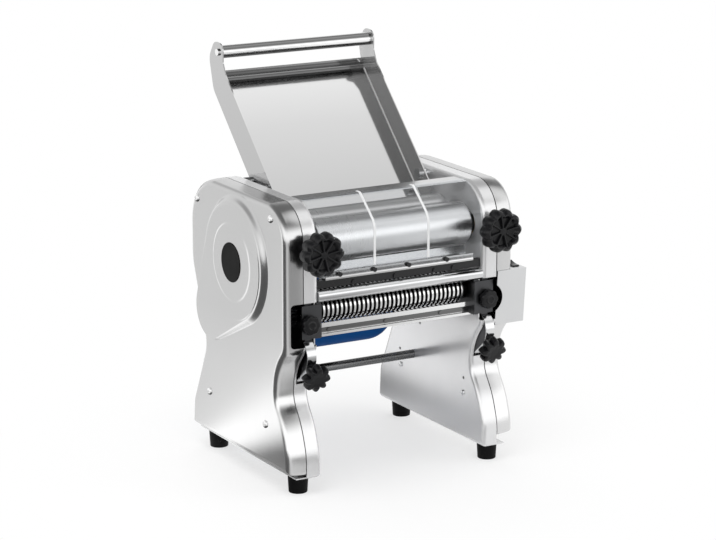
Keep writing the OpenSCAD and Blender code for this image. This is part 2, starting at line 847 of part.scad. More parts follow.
module clamp_knob() {
    along_clamp() {
        lobed_knob(clamp_knob_r, 8, 5, 13, 8, 4.5);
        translate([0, 0, -46]) cylinder(r = clamp_screw_r, h = 40);
    }
}

module clamp_knob_left() {
    color("black") on_left() clamp_knob();
}

module clamp_knob_right() {
    color("black") clamp_knob();
}

// Bent strips that wrap the nose of each frame plate, each with a hole for its clamp screw
module nose_bands() {
    path = [concat(nose_c + [-10.6, 19.3], 0), concat(nose_c + nose_tip, nose_r), [6, 134, 0]];
    color("gainsboro") both_sides() difference() {
        slab(plate_x, plate_out_x + 3) polygon(band(path, band_t));
        along_clamp() translate([0, 0, -40]) cylinder(r = clamp_screw_r + 1, h = 40);
    }
}

// ---- hopper tray ----

// The point at y on the line z = y + offset
function lean(offset, y) = [y, offset + y];

module tray_wall() {
    slab(tray_x - 1.5, tray_x) polygon(rounded([
        concat(tray_tail, 0), [120, 301.5, 2], concat(lean(tray_back, 261), 26), [272, 483, 18],
        [handle_c[0] + 10.5, handle_c[1] + 12.5, 12], [handle_c[0] - 12.5, handle_c[1] + 11, 10],
        [handle_c[0] - 12, handle_c[1] - 12, 6], concat(lean(tray_front, 228), 12),
        concat(lean(tray_front, 101), 2), [91.5, 330, 2], [96, 312, 3]]));
}

module hopper_tray() {
    color("gainsboro") {
        both_sides() difference() {
            tray_wall();
            rod_x(pivot_r + run, tray_x - 3, tray_x + 1, pivot);
            rod_x(2 + fit, tray_x - 3, tray_x + 1, handle_c);
        }
        slab(-tray_x + 1, tray_x - 1) polygon(band([concat(tray_tail, 0), concat(lean(tray_floor, 262), 2.4),
            concat(lean(tray_floor + 15, 256), 0)], -1.5));
    }
}

module handle_tube() {
    color("silver") {
        difference() {
            rod_x(handle_r, -tray_x + 1.5, tray_x - 1.5, handle_c);
            both_sides() rod_x(2 + fit, tray_x - 16, tray_x, handle_c);
        }
        both_sides() {
            rod_x(2, tray_x - 14, tray_x + 1, handle_c);
            rod_x(4.5, tray_x, tray_x + 2.2, handle_c);
        }
    }
}

// Shoulder bolts that the tray swings on
module tray_pivot_bolts() {
    color("silver") both_sides() {
        rod_x(pivot_r, tray_x - 4, inner_x, pivot);
        rod_x(6.5, tray_x - 5, tray_x - 1.6, pivot);
        rod_x(7, tray_x + 0.6, inner_x, pivot);
    }
}

// ---- switch ----

// A box over the front edge of the right cover, with a round bite that clears the cassette knob
// and two small cheeks under its top that hold the rocker's pins
module switch_box() {
    front = [[-18.6, box_z[1]], [-13, box_z[0]]];
    outer = [front[1], [box_back_y, box_z[0]], [box_back_y, box_z[1]], front[0]];
    inner = [front[1] + [sheet_t, sheet_t], [box_back_y - sheet_t, box_z[0] + sheet_t],
        [box_back_y - sheet_t, box_z[1] - sheet_t], front[0] + [sheet_t, -sheet_t]];
    color("gainsboro") difference() {
        slab(box_x[0], box_x[1]) polygon(outer);
        slab(box_x[0] - 1, box_x[1] - sheet_t) polygon(inner);
        bar([box_x[0] - 1, face_x + 0.1], [-4, box_back_y + 1], [box_z[0] - 1, box_z[1] + 1]);
        rod_y(19.5, -30, -5, cassette_knob_x, cassette_knob_z);
        bar([rocker_c[0] - rocker[0] / 2, rocker_c[0] + rocker[0] / 2],
            [rocker_c[1] - rocker[1] / 2, rocker_c[1] + rocker[1] / 2], [box_z[1] - 2, box_z[1] + 1]);
    }
    color("gainsboro") translate([rocker_c[0], rocker_c[1], rocker_z]) both_sides() difference() {
        bar([rocker[0] / 2 + 0.2, rocker[0] / 2 + 1.2], [-4, 4], [-3, 2.4]);
        rod_x(rocker_pin_r + run, 0, rocker[0], [0, 0]);
    }
}

// The rocker rests tilted to its off side, on two round pins
module rocker_switch() {
    w = rocker[0] - 0.4;
    color("black") translate([rocker_c[0], rocker_c[1], rocker_z]) rotate([10, 0, 0]) {
        translate([-w / 2, -8.5, -1.5]) cube([w, 17, 8]);
        rod_x(rocker_pin_r, -w / 2 - 1.2, w / 2 + 1.2, [0, 0]);
    }
}

module cable_gland() {
    color("black") difference() {
        union() {
            rod_y(6.9, leg_back_y - 8, leg_back_y, 146, 50);
            rod_y(10, leg_back_y - 0.6, leg_back_y + 6, 146, 50);
            translate([146, leg_back_y + 6, 50]) rotate([-90, 0, 0]) cylinder(r1 = 8, r2 = 6, h = 8);
        }
        rod_y(3.5, leg_back_y - 9, leg_back_y + 15, 146, 50);
    }
}

place() left_inner_panel();
place() right_inner_panel();
place() left_frame_plate();
place() right_frame_plate();
place() left_cover();
place() right_cover();
place() cover_standoffs();
place() cover_screws();
place() badge_disc();
place() rubber_feet();
place() foot_bolts();
place() lower_tie_rod();
place() tray_stop_bar();
place() front_cross_bar();
place() scraper_bar();
place() roller_scrapers();
place() guard_rail();
place() rail_screws();
place() roller_guard();
place() guard_ribs();
place() guard_top_strip();
place() front_roller();
place() rear_roller();
place() bearing_blocks();
place() rear_bearings();
place() adjusting_spindles();
place() adjusting_knob_left();
place() adjusting_knob_right();
place() front_roller_gear();
place() rear_roller_gears();
place() idler_gear();
place() idler_stud();
place() jackshaft();
place() jackshaft_bearing();
place() drive_pulley();
place() drive_belt();
place() motor_pulley();
place() motor_shell();
place() motor_front_shield();
place() motor_end_bell();
place() motor_stator();
place() motor_rotor();
place() cutter_end_plates();
place() front_cutter_shaft();
place() rear_cutter_shaft();
place() front_cutter_gear();
place() rear_cutter_gear();
place() cutter_combs();
place() cutter_front_plate();
place() cassette_knob_left();
place() cassette_knob_right();
place() clamp_knob_left();
place() clamp_knob_right();
place() nose_bands();
place() hopper_tray();
place() handle_tube();
place() tray_pivot_bolts();
place() switch_box();
place() rocker_switch();
place() cable_gland();
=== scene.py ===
"""Looks for the bench-top electric pasta maker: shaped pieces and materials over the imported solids.

Shapes are written in millimetres in the part's drawing frame, as its source has them, and at() takes
them to the row frame in metres. X runs across the machine, the front faces -Y, and Z = 0 is the table.
A turned piece has a profile of (radius, height) points, or (radius, height, fillet) ones, in
millimetres from its own seat. Angles are in degrees.
"""

import json
import math

import bmesh
import bpy
from mathutils import Matrix, Vector

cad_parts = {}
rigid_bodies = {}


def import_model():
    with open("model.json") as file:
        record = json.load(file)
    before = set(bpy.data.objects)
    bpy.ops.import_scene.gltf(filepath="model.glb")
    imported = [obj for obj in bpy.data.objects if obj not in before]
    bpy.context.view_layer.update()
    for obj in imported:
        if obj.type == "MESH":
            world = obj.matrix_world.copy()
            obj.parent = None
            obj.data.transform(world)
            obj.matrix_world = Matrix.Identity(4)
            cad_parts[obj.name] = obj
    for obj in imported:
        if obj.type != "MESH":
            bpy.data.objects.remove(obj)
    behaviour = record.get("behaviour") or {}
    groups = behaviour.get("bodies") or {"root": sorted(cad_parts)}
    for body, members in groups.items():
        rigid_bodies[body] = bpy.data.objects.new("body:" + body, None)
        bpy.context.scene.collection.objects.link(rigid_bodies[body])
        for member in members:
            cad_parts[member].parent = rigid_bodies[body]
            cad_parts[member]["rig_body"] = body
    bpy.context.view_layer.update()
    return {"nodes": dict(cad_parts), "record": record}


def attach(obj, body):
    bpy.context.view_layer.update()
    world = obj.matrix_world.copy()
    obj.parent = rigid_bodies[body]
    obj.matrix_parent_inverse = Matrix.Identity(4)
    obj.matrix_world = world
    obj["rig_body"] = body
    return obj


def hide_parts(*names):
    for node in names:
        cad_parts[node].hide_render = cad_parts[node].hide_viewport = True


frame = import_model()
nodes = frame["nodes"]
slots = {s["node"]: s["material_slot"] for s in frame["record"]["subparts"]}

MM = 0.001
OFFSET = Vector((-5.0, -109.2, 0.0))
ALONG_X, ALONG_Y, ALONG_Z = (1, 0, 0), (0, 1, 0), (0, 0, 1)

# Housings: throat face, seam, cover rim and cover face across X, then the outline's reaches in Y and Z
INNER_X, SEAM_X, RIM_X, FACE_X = 113.5, 133.0, 134.2, 157.5
FRONT_Y, LEG_FRONT_Y, LEG_BACK_Y, WAIST_Y, BACK_Y, TOP_Z = -17.0, -22.5, 234.0, 10.0, 231.0, 350.0
FOOT_H, SHEET, LEFT_COVER_LOW, RIGHT_COVER_LOW = 21.0, 1.5, 26, 34
COVER_BEND, COVER_DRAFT, PANEL_BEND = 7.5, 1.2, 5.5
NOTCH = (181.0, 234.5)
SCREWS = [(18.6, 332.0), (182.4, 80.9), (35.6, 77.8), (210.0, 320.5)]

# Boss of the left cover: its round end and its lobe as centres and (foot, top) radii, then its disc fields
POD_C, POD_BASE_C, POD_R = (107.0, 262.0), (104.0, 264.5), (80.5, 70.5)
LOBE_C, LOBE_R, POD_H = (168.0, 190.0), (38.0, 36.0), 6.0
DISC_R, INNER_DISC_R, DISC_H = 69.6, 48.6, 0.6

# Frame plates across X, shafts as Y or (Y, Z), and the seats of the knobs
PLATE_X, PLATE_OUT_X, MID_PLATE_X = 118.0, 127.0, 122.5
FRONT_ROLLER_YS, REAR_ROLLER_Y, ROLLER_Z = (16, 20), 72.2, 298
FRONT_CUTTER, REAR_CUTTER, JACKSHAFT = (19.0, 216.0), (49.0, 216.0), (166, 190)
STAR_KNOB_Y, CLAMP_KNOB, CLAMP_TILT = -52, (-33, 143.5), 20
CASSETTE_KNOB_X, CASSETTE_KNOB = 123.5, (-19.7, 207)


def at(x, y, z):
    """A point of the drawing frame, in millimetres, as a point of the row frame in metres."""
    return (Vector((x, y, z)) + OFFSET) * MM


# ---- shader nodes ----

def new_material(name):
    material = bpy.data.materials.new(name)
    material.use_nodes = True
    tree = material.node_tree
    return material, tree, tree.nodes["Principled BSDF"]


def axes(tree, kind):
    """The X, Y and Z of a texture coordinate, such as Object or Normal."""
    coords = tree.nodes.new("ShaderNodeTexCoord")
    split = tree.nodes.new("ShaderNodeSeparateXYZ")
    tree.links.new(coords.outputs[kind], split.inputs[0])
    return split.outputs["X"], split.outputs["Y"], split.outputs["Z"]


def noise(tree, scale, detail=3.0, stretch=(1.0, 1.0, 1.0)):
    """A noise texture over the object's own coordinates, stretched along some axes."""
    coords = tree.nodes.new("ShaderNodeTexCoord")
    mapping = tree.nodes.new("ShaderNodeMapping")
    mapping.inputs["Scale"].default_value = stretch
    texture = tree.nodes.new("ShaderNodeTexNoise")
    texture.inputs["Scale"].default_value = scale
    texture.inputs["Detail"].default_value = detail
    tree.links.new(coords.outputs["Object"], mapping.inputs["Vector"])
    tree.links.new(mapping.outputs["Vector"], texture.inputs["Vector"])
    return texture.outputs["Fac"]


def ranged(tree, value, low, high, start=0.3, stop=0.7):
    """The value taken from start..stop to low..high."""
    node = tree.nodes.new("ShaderNodeMapRange")
    node.inputs["From Min"].default_value = start
    node.inputs["From Max"].default_value = stop
    node.inputs["To Min"].default_value = low
    node.inputs["To Max"].default_value = high
    tree.links.new(value, node.inputs["Value"])
    return node.outputs["Result"]


def maths(tree, operation, *values):
    """A maths node; each value is a socket or a number."""
    node = tree.nodes.new("ShaderNodeMath")
    node.operation = operation
    for i, value in enumerate(values):
        if isinstance(value, (int, float)):
            node.inputs[i].default_value = value
        else:
            tree.links.new(value, node.inputs[i])
    return node.outputs[0]


def vector_maths(tree, operation, *sockets):
    node = tree.nodes.new("ShaderNodeVectorMath")
    node.operation = operation
    for i, socket in enumerate(sockets):
        tree.links.new(socket, node.inputs[i])
    return node


def ramp(tree, value, stops):
    """A grey ramp through (position, value) stops."""
    node = tree.nodes.new("ShaderNodeValToRGB")
    elements = node.color_ramp.elements
    for element, (position, level) in zip(elements, (stops[0], stops[-1])):
        element.position, element.color = position, (level, level, level, 1)
    for position, level in stops[1:-1]:
        elements.new(position).color = (level, level, level, 1)
    tree.links.new(value, node.inputs["Fac"])
    return node.outputs["Color"]


def ramp_mm(tree, distance, stops):
    """A grey ramp over a distance in metres, through (millimetres, value) stops."""
    low, high = stops[0][0], stops[-1][0]
    return ramp(tree, ranged(tree, distance, 0.0, 1.0, low * MM, high * MM),
                [((d - low) / (high - low), level) for d, level in stops])


def patched(tree, shader, value, colour, patch):
    """Gives a shader a base colour that a value takes a share darker or lighter."""
    node = tree.nodes.new("ShaderNodeValToRGB")
    for element, position, share in zip(node.color_ramp.elements, (0.3, 0.7), (1 - patch, 1 + patch)):
        element.position = position
        element.color = (*(min(1.0, c * share) for c in colour), 1)
    tree.links.new(value, node.inputs["Fac"])
    tree.links.new(node.outputs["Color"], shader.inputs["Base Color"])


def mix_colours(tree, factor, first, second):
    node = tree.nodes.new("ShaderNodeMix")
    node.data_type = "RGBA"
    tree.links.new(factor, node.inputs["Factor"])
    tree.links.new(first, node.inputs["A"])
    tree.links.new(second, node.inputs["B"])
    return node.outputs["Result"]


def mix_shaders(tree, factor, first, second):
    node = tree.nodes.new("ShaderNodeMixShader")
    tree.links.new(factor, node.inputs["Fac"])
    tree.links.new(first, node.inputs[1])
    tree.links.new(second, node.inputs[2])
    return node.outputs["Shader"]


def bumped(tree, shader, value, strength, distance):
    bump = tree.nodes.new("ShaderNodeBump")
    bump.inputs["Strength"].default_value = strength
    bump.inputs["Distance"].default_value = distance
    tree.links.new(value, bump.inputs["Height"])
    tree.links.new(bump.outputs["Normal"], shader.inputs["Normal"])


# ---- materials ----

def metal(name, colour, rough, stretch=(1.0, 1.0, 1.0), bump=0.04, patch=0.03, metallic=1.0):
    """Metal with a fine grain and slow patches in its gloss; without a colour, toned() gives it one."""
    material, tree, shader = new_material(name)
    shader.inputs["Metallic"].default_value = metallic
    fine = noise(tree, 700.0, 2.0, stretch)
    slow = noise(tree, 14.0)
    if colour:
        patched(tree, shader, slow, colour, patch)
    fine_gloss = ranged(tree, fine, rough * 0.85, rough * 1.05)
    slow_gloss = ranged(tree, slow, 0.0, rough * 0.15)
    tree.links.new(maths(tree, "ADD", fine_gloss, slow_gloss), shader.inputs["Roughness"])
    bumped(tree, shader, fine, bump, 0.00001)
    return material


def toned(material, grey):
    """Takes a metal's base colour from a socket, which here always carries painted light and shade."""
    tree = material.node_tree
    tree.links.new(grey, tree.nodes["Principled BSDF"].inputs["Base Color"])
    return material


def turned_steel(name, centre, stops):
    """Turned metal with painted shade and highlights: its grey follows the distance from its axis, by
    (radius, grey) stops.
    """
    material = metal(name, None, 0.12, (1.0, 0.06, 0.06))
    tree = material.node_tree
    middle = at(0, *centre)
    _, y, z = axes(tree, "Object")
    y = maths(tree, "SUBTRACT", y, middle.y)
    z = maths(tree, "SUBTRACT", z, middle.z)
    square = maths(tree, "ADD", maths(tree, "MULTIPLY", y, y), maths(tree, "MULTIPLY", z, z))
    return toned(material, ramp_mm(tree, maths(tree, "SQRT", square), stops))


def tray_steel(name, floor_stops, wall_stops):
    """Bright sheet with painted light and shade: its grey follows its rise, with one set of stops for the
    floor and one for the walls, and the right wall is made less metallic.
    """
    material = metal(name, None, 0.085, (1.0, 0.05, 0.05), 0.02)
    tree = material.node_tree
    x, _, z = axes(tree, "Object")
    rise = ranged(tree, z, 0.0, 1.0, TRAY_LOW * MM, TRAY_HIGH * MM)
    wall = maths(tree, "ABSOLUTE", axes(tree, "Normal")[0])
    grey = mix_colours(tree, wall, ramp(tree, rise, floor_stops), ramp(tree, rise, wall_stops))
    right_wall = maths(tree, "MULTIPLY", wall, ranged(tree, x, 0.0, 1.0, 0.05, 0.08))
    shader = tree.nodes["Principled BSDF"]
    tree.links.new(ranged(tree, right_wall, 1.0, 0.74, 0.5, 0.9), shader.inputs["Metallic"])
    return toned(material, grey)


def banded_steel(name, stops, rough=0.14, stretch=(0.05, 1.0, 1.0), bump=0.02):
    """Sheet with painted light and shade in bands: its grey follows the height, by (height, grey) stops."""
    material = metal(name, None, rough, stretch, bump)
    tree = material.node_tree
    return toned(material, ramp_mm(tree, axes(tree, "Object")[2], stops))


def leaning_steel(name, stops, rough=0.12, metallic=1.0):
    """Polished metal with painted reflections and shade: its grey follows how far its skin faces up, from 0
    for down to 1 for up.
    """
    material = metal(name, None, rough, (0.2, 1.0, 1.0), 0.02, metallic=metallic)
    tree = material.node_tree
    return toned(material, ramp(tree, ranged(tree, axes(tree, "Normal")[2], 0.0, 1.0, -1.0, 1.0), stops))


def coated(name, colour, rough, coat=0.0, specular=0.5, grain=500.0):
    """Paint, rubber or moulded plastic, with a fine skin texture."""
    material, tree, shader = new_material(name)
    fine = noise(tree, grain)
    slow = noise(tree, 25.0, 2.0)
    patched(tree, shader, slow, colour, 0.12)
    tree.links.new(ranged(tree, slow, rough * 0.85, min(1.0, rough * 1.15)), shader.inputs["Roughness"])
    shader.inputs["Specular IOR Level"].default_value = specular
    shader.inputs["Coat Weight"].default_value = coat
    shader.inputs["Coat Roughness"].default_value = 0.08
    bumped(tree, shader, fine, 0.3, 0.00004)
    return material


def clear_sheet(name):
    """Thin clear sheet: see-through, with a faint sheen that grows towards its edges."""
    material, tree, shader = new_material(name)
    slow = noise(tree, 8.0, 2.0)
    shader.inputs["Metallic"].default_value = 1.0
    shader.inputs["Base Color"].default_value = (0.9, 0.91, 0.92, 1)
    tree.links.new(ranged(tree, slow, 0.04, 0.09), shader.inputs["Roughness"])
    clear = tree.nodes.new("ShaderNodeBsdfTransparent")
    clear.inputs["Color"].default_value = (0.97, 0.975, 0.98, 1)
    edge = tree.nodes.new("ShaderNodeLayerWeight")
    edge.inputs["Blend"].default_value = 0.25
    sheen = ranged(tree, edge.outputs["Facing"], 0.03, 0.30, 0.2, 1.0)
    both = mix_shaders(tree, sheen, clear.outputs["BSDF"], shader.outputs["BSDF"])
    tree.links.new(both, tree.nodes["Material Output"].inputs["Surface"])
    return material


# Painted light on the cutter shafts, greys by radius in millimetres: painted shade in the grooves, painted
# highlights on the disc rims
CUTTER_PAINTED_LIGHT = [(12.0, 0.01), (13.9, 0.02), (15.2, 0.30), (16.0, 0.88)]

# Painted light and shade by height in millimetres: on the cassette's folded sheet a painted dark reflection
# band between bright bands, on the guard's rail a painted highlight line beside a painted dark band, and the
# covers lighter low down and darker towards the top
PLATE_PAINTED_REFLECTION = [(186.0, 0.90), (189.9, 0.90), (190.5, 0.16), (196.4, 0.20), (197.2, 0.92), (204.0, 0.95)]
RAIL_PAINTED_LIGHT = [(258.0, 0.60), (259.6, 0.62), (260.0, 1.0), (261.2, 1.0), (261.8, 0.45),
              (263.0, 0.33), (264.5, 0.36), (265.5, 0.62), (267.0, 0.66)]
COVER_PAINTED_SHADE = [(20.0, 0.73), (120.0, 0.71), (200.0, 0.64), (350.0, 0.62)]

# Painted light and shade on the tray, greys of its floor and walls by the share of the rise between two
# heights in millimetres: the floor lightens upwards and has painted dark reflection bands near its top, the
# walls lighten slightly upwards
TRAY_LOW, TRAY_HIGH = 330, 470
TRAY_FLOOR_PAINTED_LIGHT = [(0.0, 0.60), (0.5, 0.70), (0.815, 0.82), (0.836, 0.45), (0.849, 0.10), (0.865, 0.32),
               (0.885, 0.20), (0.90, 0.20), (0.925, 0.48), (0.94, 0.66), (1.0, 0.50)]
TRAY_WALL_PAINTED_SHADE = [(0.0, 0.56), (1.0, 0.62)]

# Painted reflections by lean, from down to up: bands of painted light and dark round the tray's handle tube,
# and screw heads painted dark where they face down and bright where they face up
HANDLE_PAINTED_REFLECTION = [(0.0, 0.20), (0.12, 0.14), (0.222, 0.02), (0.3175, 0.29), (0.40, 1.0), (0.56, 1.0),
                (0.635, 0.62), (0.706, 0.32), (0.779, 0.20), (0.845, 0.23), (0.907, 0.36),
                (0.96, 0.95), (1.0, 0.95)]
SCREW_PAINTED_LIGHT = [(0.0, 0.04), (0.34, 0.06), (0.44, 0.95), (1.0, 1.0)]

UPRIGHT_GRAIN = (1.0, 1.0, 0.03)

# The tray, cassette plate, handle, rail, screw, cover and cutter materials paint light and shade into their
# base colour.
MATERIALS = {
    "brushed_stainless": metal("brushed_stainless", (0.70, 0.705, 0.71), 0.20, UPRIGHT_GRAIN),
    "polished_stainless": metal("polished_stainless", (0.72, 0.725, 0.73), 0.10, (0.05, 1.0, 1.0)),
    "panel_steel": metal("panel_steel", (0.78, 0.78, 0.785), 0.22, UPRIGHT_GRAIN, metallic=0.65),
    "tray_mirror": tray_steel("tray_mirror", TRAY_FLOOR_PAINTED_LIGHT, TRAY_WALL_PAINTED_SHADE),
    "bead_steel": metal("bead_steel", (0.80, 0.80, 0.80), 0.45),
    "plate_steel": banded_steel("plate_steel", PLATE_PAINTED_REFLECTION),
    "tube_steel": metal("tube_steel", (0.68, 0.685, 0.69), 0.12, (0.2, 1.0, 1.0), 0.02),
    "handle_steel": leaning_steel("handle_steel", HANDLE_PAINTED_REFLECTION),
    "rail_steel": banded_steel("rail_steel", RAIL_PAINTED_LIGHT),
    "screw_painted_light": leaning_steel("screw_painted_light", SCREW_PAINTED_LIGHT, 0.22, 0.4),
    "cover_steel": banded_steel("cover_steel", COVER_PAINTED_SHADE, 0.20, UPRIGHT_GRAIN, 0.04),
    "roller_steel": metal("roller_steel", (0.82, 0.82, 0.82), 0.30, (1.0, 0.05, 0.05), 0.02),
    "rod_steel": metal("rod_steel", (0.20, 0.202, 0.205), 0.28),
    "dark_steel": metal("dark_steel", (0.085, 0.086, 0.09), 0.34, patch=0.15),
    "machined_steel": metal("machined_steel", (0.50, 0.505, 0.51), 0.18, (1.0, 0.06, 0.06)),
    "front_cutter_steel": turned_steel("front_cutter_steel", FRONT_CUTTER, CUTTER_PAINTED_LIGHT),
    "rear_cutter_steel": turned_steel("rear_cutter_steel", REAR_CUTTER, CUTTER_PAINTED_LIGHT),
    "zinc_plated": metal("zinc_plated", (0.74, 0.75, 0.76), 0.16),
    "bronze": metal("bronze", (0.60, 0.42, 0.22), 0.32, patch=0.12),
    "cast_iron": metal("cast_iron", (0.16, 0.16, 0.165), 0.5, bump=0.3, patch=0.2),
    "motor_blue": coated("motor_blue", (0.0, 0.068, 0.26), 0.5, specular=0.04),
    "motor_core": coated("motor_core", (0.10, 0.085, 0.075), 0.6, specular=0.3, grain=1500.0),
    "knob_black": coated("knob_black", (0.006, 0.006, 0.007), 0.30, 0.05, 0.28),
    "switch_black": coated("switch_black", (0.008, 0.008, 0.009), 0.22, 0.2, 0.4),
    "badge_black": coated("badge_black", (0.003, 0.003, 0.003), 0.45, specular=0.06),
    "foot_rubber": coated("foot_rubber", (0.003, 0.003, 0.003), 0.55, specular=0.12),
    "belt_rubber": coated("belt_rubber", (0.012, 0.012, 0.012), 0.7, specular=0.25),
    "black_oxide": coated("black_oxide", (0.008, 0.008, 0.009), 0.30),
    "white_plastic": coated("white_plastic", (0.82, 0.825, 0.83), 0.35),
    "clear_guard": clear_sheet("clear_guard"),
}


# ---- outlines in the (Y, Z) plane ----

def corner(before, point, after, radius, steps):
    """The arc that rounds a corner between its neighbours."""
    before, point, after = Vector(before), Vector(point), Vector(after)
    u, v = (before - point).normalized(), (after - point).normalized()
    half = math.acos(max(-1.0, min(1.0, u.dot(v)))) / 2
    centre = point + (u + v).normalized() * radius / math.sin(half)
    s, e = point + u * radius / math.tan(half) - centre, point + v * radius / math.tan(half) - centre
    turn = math.copysign(1.0, s.x * e.y - s.y * e.x) * (math.pi - 2 * half)
    out = []
    for i in range(steps + 1):
        cosine, sine = math.cos(turn * i / steps), math.sin(turn * i / steps)
        out.append(centre + Vector((s.x * cosine - s.y * sine, s.x * sine + s.y * cosine)))
    return out


def outline(path, inward=0.0, steps=10):
    """A closed outline with rounded corners, moved inwards; a path always gives as many points."""
    points = [Vector(p[:2]) for p in path]
    moved = []
    for i, p in enumerate(points):
        d1 = (p - points[i - 1]).normalized()
        d2 = (points[(i + 1) % len(points)] - p).normalized()
        n1, n2 = Vector((-d1.y, d1.x)), Vector((-d2.y, d2.x))
        bend = math.copysign(1.0, d1.x * d2.y - d1.y * d2.x)
        moved.append((p + (n1 + n2) * inward / (1 + n1.dot(n2)), max(path[i][2] - inward * bend, 0.05)))
    out = []
    for i, (p, r) in enumerate(moved):
        out += corner(moved[i - 1][0], p, moved[(i + 1) % len(moved)][0], r, steps)
    return out


def arc(centre, radius, start, span, steps):
    """Points round a centre; the start and the span are in radians."""
    angles = (start + span * i / steps for i in range(steps + 1))
    return [centre + Vector((math.cos(t), math.sin(t))) * radius for t in angles]


def loop_outline(a, ra, b, rb, steps=40):
    """The outline of a belt drawn round two circles."""
    a, b = Vector(a), Vector(b)
    direction = math.atan2(b.y - a.y, b.x - a.x)
    lift = math.acos((ra - rb) / (b - a).length)
    return (arc(a, ra, direction + lift, 2 * math.pi - 2 * lift, 2 * steps)
            + arc(b, rb, direction - lift, 2 * lift, steps))


def housing(low):
    """The housings' outline down to a height, as (Y, Z, corner radius)."""
    return [(LEG_FRONT_Y, low, 4), (LEG_BACK_Y, low, 6), (BACK_Y, 62, 30), (195, 140, 30),
            (BACK_Y, 240, 60), (BACK_Y, TOP_Z, 60), (FRONT_Y, TOP_Z, 45), (FRONT_Y, 177, 25),
            (6, 150, 60), (WAIST_Y, 113, 35), (-10, 86, 100), (LEG_FRONT_Y, 50, 70)]


# ---- meshes ----

def finish_mesh(mesh, angle):
    mesh.shade_smooth()
    mesh.set_sharp_from_angle(angle=math.radians(angle))


def as_object(name, mesh, material, body, replaces=(), angle=35.0):
    """Links a mesh as a piece that rides on a body and stands for some nodes."""
    obj = bpy.data.objects.new(name, mesh)
    bpy.context.scene.collection.objects.link(obj)
    if not mesh.materials:
        mesh.materials.append(MATERIALS[material])
    finish_mesh(mesh, angle)
    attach(obj, body)
    if replaces:
        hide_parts(*replaces)
    return obj


def join_rings(bm, rings):
    """Skins closed rings of points, given in metres, into a bmesh, and caps both ends."""
    made = [[bm.verts.new(p) for p in ring] for ring in rings]
    count = len(made[0])
    for low, high in zip(made, made[1:]):
        for i in range(count):
            j = (i + 1) % count
            bm.faces.new((low[i], low[j], high[j], high[i]))
    bm.faces.new(list(reversed(made[0])))
    bm.faces.new(made[-1])


def to_mesh(name, bm, mirrored=False):
    """Turns a bmesh into a mesh, mirrored across the machine's middle first if asked."""
    if mirrored:
        for v in bm.verts:
            v.co.x = -v.co.x + 2 * OFFSET.x * MM
    bmesh.ops.recalc_face_normals(bm, faces=bm.faces)
    mesh = bpy.data.meshes.new(name)
    bm.to_mesh(mesh)
    bm.free()
    return mesh


def apply_modifiers(obj):
    """Replaces an object's mesh by its evaluated one."""
    dg = bpy.context.evaluated_depsgraph_get()
    mesh = bpy.data.meshes.new_from_object(obj.evaluated_get(dg))
    obj.modifiers.clear()
    obj.data = mesh


def weighted(obj, angle):
    """Shades an object smooth where it bends, and keeps its flats flat."""
    finish_mesh(obj.data, angle)
    modifier = obj.modifiers.new("normals", "WEIGHTED_NORMAL")
    modifier.mode = "FACE_AREA"
    modifier.weight = 80
    modifier.keep_sharp = True
    apply_modifiers(obj)


def cut(obj, cutter):
    """Takes a cutter's mesh out of an object's mesh, and removes the cutter."""
    modifier = obj.modifiers.new("cut", "BOOLEAN")
    modifier.operation = "DIFFERENCE"
    modifier.solver = "EXACT"
    modifier.object = cutter
    apply_modifiers(obj)
    bpy.data.objects.remove(cutter)


def as_cutter(bm, mirrored=False):
    """A short-lived object for cut(), from a bmesh."""
    obj = bpy.data.objects.new("cutter", to_mesh("cutter", bm, mirrored))
    bpy.context.scene.collection.objects.link(obj)
    return obj


def add_box(bm, x, y, z):
    """A box between two values on each axis, in drawing millimetres."""
    corners = ((x[0], y[0]), (x[1], y[0]), (x[1], y[1]), (x[0], y[1]))
    join_rings(bm, [[at(a, b, height) for a, b in corners] for height in z])


def axis_frame(origin, axis):
    """A matrix that takes +Z to an axis, at a point of the drawing frame; results are in row metres."""
    rotation = Vector(axis).to_track_quat("Z", "Y").to_matrix().to_4x4()
    return Matrix.Translation(at(*origin)) @ rotation @ Matrix.Scale(MM, 4)


def turned(bm, place, profile, steps=48, radius=None):
    """Turns a profile about the axis of a matrix; radius(r, a) may shape each ring."""
    rings = []
    for r, h in profile:
        ring = []
        for i in range(steps):
            a = 2 * math.pi * i / steps
            k = radius(r, a) if radius else r
            ring.append(place @ Vector((k * math.cos(a), k * math.sin(a), h)))
        rings.append(ring)
    join_rings(bm, rings)


def rounded_profile(points, steps=4):
    """A profile with its corners rounded by their fillets."""
    out = []
    for i, (r, h, fillet) in enumerate(points):
        if fillet <= 0 or i in (0, len(points) - 1):
            out.append((r, h))
            continue
        out += [(p.x, p.y) for p in corner(points[i - 1][:2], (r, h), points[i + 1][:2], fillet, steps)]
    return out


def softened(node, material, width):
    """A copy of a node's mesh with its hard edges softened by a width in metres, standing for the node."""
    sharp_angle = 30.0
    source = nodes[node]
    bm = bmesh.new()
    bm.from_mesh(source.data)
    bmesh.ops.remove_doubles(bm, verts=bm.verts, dist=1e-7)
    bmesh.ops.dissolve_limit(bm, angle_limit=math.radians(0.5), verts=bm.verts, edges=bm.edges,
                             delimit={"NORMAL"})
    name = node + "_soft"
    mesh = to_mesh(name, bm)
    obj = as_object(name, mesh, material, source["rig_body"], (node,), sharp_angle)
    bevel = obj.modifiers.new("bevel", "BEVEL")
    bevel.width = width
    bevel.segments = 2
    bevel.limit_method = "ANGLE"
    bevel.angle_limit = math.radians(sharp_angle)
    bevel.miter_outer = "MITER_ARC"
    apply_modifiers(obj)
    weighted(obj, 40.0)
    obj.visible_glossy = node not in UNMIRRORED


def box_cutter(x, y, z, mirrored=False):
    bm = bmesh.new()
    add_box(bm, x, y, z)
    return as_cutter(bm, mirrored)


def rod_cutter(radius, start, axis, length, mirrored=False):
    bm = bmesh.new()
    turned(bm, axis_frame(start, axis), [(radius, 0), (radius, length)])
    return as_cutter(bm, mirrored)


# ---- housings ----

